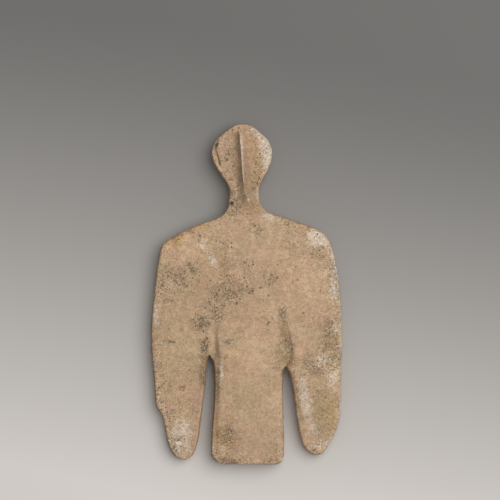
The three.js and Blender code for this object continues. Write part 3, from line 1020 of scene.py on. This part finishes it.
# Coats laid one over another: what each follows, where it starts and is full, its greatest share, its colour.
coats = [
    (noise(17, 3, 3.1), 0.42, 0.7, 1, PINK),
    (noise(13, 3, 5.7), 0.5, 0.75, 0.55, KHAKI),
    (noise(7, 4, 6.3), 0.5, 0.8, 0.5, UMBER),
    (mask("olive", 6, 1.3), 0, 1, 0.65, OLIVE_STAIN),
    (mask("ochre", 4, 2.3), 0, 1, 0.6, OCHRE_STAIN),
    (mask("brown", 4, 8.6), 0, 1, 0.75, BROWN_STAIN),
    # Pale wear, and a painted highlight on the nose crest.
    (mask("worn_and_crest_highlight", 3.8, 4.9), 0, 1, 0.68, PALE_WEAR_AND_HIGHLIGHT),
    (mask("speckle", 3, 6.7), 0, 1, 0.38, DUSKY),
    (layer("sawn"), 0.1, 0.9, 0.2, SAW_BROWN),
    # Painted shade on walls that face left.
    (layer("left_wall_shade"), 0.38, 0.88, 0.72, WALL_SHADE),
    # Painted highlight on edges that face right.
    (layer("right_wall_highlight"), 0.4, 0.9, 0.6, WALL_HIGHLIGHT),
]
colour = blend_rgba(between(noise(26, 4), 0.36, 0.64), BEIGE, LIGHT_BEIGE)
for source, start, full, most, coat in coats:
    colour = blend_rgba(between(source, start, full, 0, most), colour, coat)

# The grain lightens and darkens the stone, the more the rougher its skin is.
grain = noise(1.05, 3, 7.7)
gain = between(layer("rough"), 0, 1, 0.5, 3)
bright = maths("ADD", maths("MULTIPLY", maths("SUBTRACT", grain, 0.5), gain), 1)
coarse = between(noise(2.8, 3, 9.1), 0.3, 0.7, 0.86, 1.14)
broad = between(noise(6.5, 3, 3.9), 0.3, 0.7, 0.9, 1.1)
# The tone layer holds painted shading on the nose ridge and the left arm's edge as well as the stone's own
# tone.
shade = maths("MULTIPLY", maths("MULTIPLY", coarse, broad), maths("ADD", layer("tone_and_shading"), 1))
grey = maths("MULTIPLY", bright, shade)
grey_rgb = node("ShaderNodeCombineColor", {0: grey, 1: grey, 2: grey}).outputs[0]
colour = blend_rgba(1, colour, grey_rgb, "MULTIPLY")
light = flecks("rough", 1.15, 0.65, 0.545, 0.09, 4.4)
colour = blend_rgba(maths("MULTIPLY", light, 0.6), colour, LIGHT_FLECK)

# Dark specks: separate spots in two sizes, fainter fine flecks, a few large ones, and the single ones, each
# full inside the first share of its radius and gone past the second. The strongest shows.
FULL_INSIDE = 0.6
GONE_PAST = 1.25
FINE_SHARE = 0.7

specks = [
    dots("speckle", 1.5, 0.26, 0.55, 0.65, 0.4),
    dots("speckle", 2.9, 0.16, 0.36, 0.45, 0.9),
    maths("MULTIPLY", flecks("speckle", 1.3, 0.65, 0.505, 0.09, 0.4), FINE_SHARE),
    maths("MULTIPLY", flecks("speckle", 2.3, 0.68, 0.55, 0.08, 0.9), FINE_SHARE),
    flecks("speckle", 3.2, 0.76, 0.63, 0.08, 2.9),
]
for x, y, radius in MARKS:
    spot = (np.array([x, y, front_level(in_mm, x, y)]) - (*middle, 0)) / 1000 + SHAKE / 2
    to_spot = {0: scattered, 1: tuple(spot)}
    away = node("ShaderNodeVectorMath", to_spot, operation="DISTANCE").outputs["Value"]
    specks.append(between(away, radius * GONE_PAST / 1000, radius * FULL_INSIDE / 1000))
dark = specks[0]
for speck in specks[1:]:
    dark = maths("MAXIMUM", dark, speck)
colour = blend_rgba(maths("MULTIPLY", dark, 0.77), colour, DARK_SPECK)
# Painted shade in the crease, the pits and the small holes.
colour = blend_rgba(between(layer("crevice_shade"), 0.1, 0.7, 0, 0.85), colour, CREVICE_SHADE)
links.new(colour, shader.inputs["Base Color"])
links.new(between(grain, 0.3, 0.7, 0.8, 0.97), shader.inputs["Roughness"])

# The grain stands out a little, and the dark specks lie lower than it.
BUMP_HEIGHT = 0.0005
rise = maths("ADD", grain, maths("MULTIPLY", noise(0.55, 2, 8.3), 0.6))
height = maths("SUBTRACT", rise, maths("MULTIPLY", dark, 0.8))
bump = node("ShaderNodeBump", {"Strength": 0.55, "Distance": BUMP_HEIGHT, "Height": height})
links.new(bump.outputs[0], shader.inputs["Normal"])
mesh.materials.append(stone)


# The camera, the floor and the light.
# The idol is seen from straight in front, so the camera looks straight down on it. The floor is a plain sheet
# of paper whose colour is painted with shade, pale by the foot and greyer by the head, under one large soft
# lamp from the upper right and an even sky. Sizes are in metres, and the frame is as wide as this at the
# face's level.
VIEW_DISTANCE = 1.4
FACE_LEVEL = 0.012
FRAME_WIDTH = 0.3512
CENTRE = (0.0025, 0.0311)
SENSOR_WIDTH = 36
FARTHEST = 20

camera = bpy.data.objects.new("camera", bpy.data.cameras.new("camera"))
camera.data.sensor_width = SENSOR_WIDTH
camera.data.lens = SENSOR_WIDTH * VIEW_DISTANCE / FRAME_WIDTH
camera.data.clip_end = FARTHEST
camera.location = (*CENTRE, VIEW_DISTANCE + FACE_LEVEL)
bpy.context.scene.collection.objects.link(camera)
bpy.context.scene.camera = camera

# The paper's colour carries painted shade: grey above the first level and pale below the second, and a little
# greyer to the right.
GREY_ABOVE = 0.2
PALE_BELOW = -0.14
SHADE_TO_RIGHT = 0.2
LEFT_LINE = -0.08
PAPER_POWER = 1.5
PAPER_SHADE_GREY = (0.165, 0.161, 0.155)
PAPER_PALE = (0.7, 0.665, 0.632)
HALF_FLOOR = 3

# From here on, the nodes that are made are the paper's.
paper = bpy.data.materials.new("paper")
paper.use_nodes = True
nodes, links = paper.node_tree.nodes, paper.node_tree.links
paper_shader = nodes["Principled BSDF"]
paper_shader.inputs["Roughness"].default_value = 0.95
paper_shader.inputs["Specular IOR Level"].default_value = 0.1
on_sheet = node("ShaderNodeTexCoord", {}).outputs["Object"]
across, up_sheet, _ = node("ShaderNodeSeparateXYZ", {0: on_sheet}).outputs
slant = maths("MULTIPLY", maths("SUBTRACT", across, LEFT_LINE), SHADE_TO_RIGHT)
paper_lit_share = between(maths("ADD", up_sheet, slant), GREY_ABOVE, PALE_BELOW)
# Painted shade in the paper's colour, from grey to pale.
paper_colour = blend_rgba(maths("POWER", paper_lit_share, PAPER_POWER), PAPER_SHADE_GREY, PAPER_PALE)
links.new(paper_colour, paper_shader.inputs["Base Color"])

floor_mesh = bpy.data.meshes.new("floor")
floor_corners = [(a * HALF_FLOOR, b * HALF_FLOOR, 0) for a, b in ((-1, -1), (1, -1), (1, 1), (-1, 1))]
floor_mesh.from_pydata(floor_corners, [], [(0, 1, 2, 3)])
floor_mesh.materials.append(paper)
floor = bpy.data.objects.new("floor", floor_mesh)
bpy.context.scene.collection.objects.link(floor)

LAMP_PLACE = (0.55, 0.36, 1.35)
LAMP_WIDTH = 1.6
LAMP_WATTS = 19.2
LAMP_COLOUR = (1, 0.985, 0.96)
SKY_COLOUR = (0.97, 0.98, 1, 1)
SKY_STRENGTH = 0.39

key = bpy.data.objects.new("key", bpy.data.lights.new("key", "AREA"))
key.data.shape = "DISK"
key.data.size = LAMP_WIDTH
key.data.energy = LAMP_WATTS
key.data.color = LAMP_COLOUR
key.location = LAMP_PLACE
key.rotation_euler = (-key.location).to_track_quat("-Z", "Y").to_euler()
bpy.context.scene.collection.objects.link(key)

world = bpy.data.worlds.new("sky")
world.use_nodes = True
background = world.node_tree.nodes["Background"]
background.inputs["Color"].default_value = SKY_COLOUR
background.inputs["Strength"].default_value = SKY_STRENGTH
bpy.context.scene.world = world
bpy.context.scene.view_settings.view_transform = "Standard"
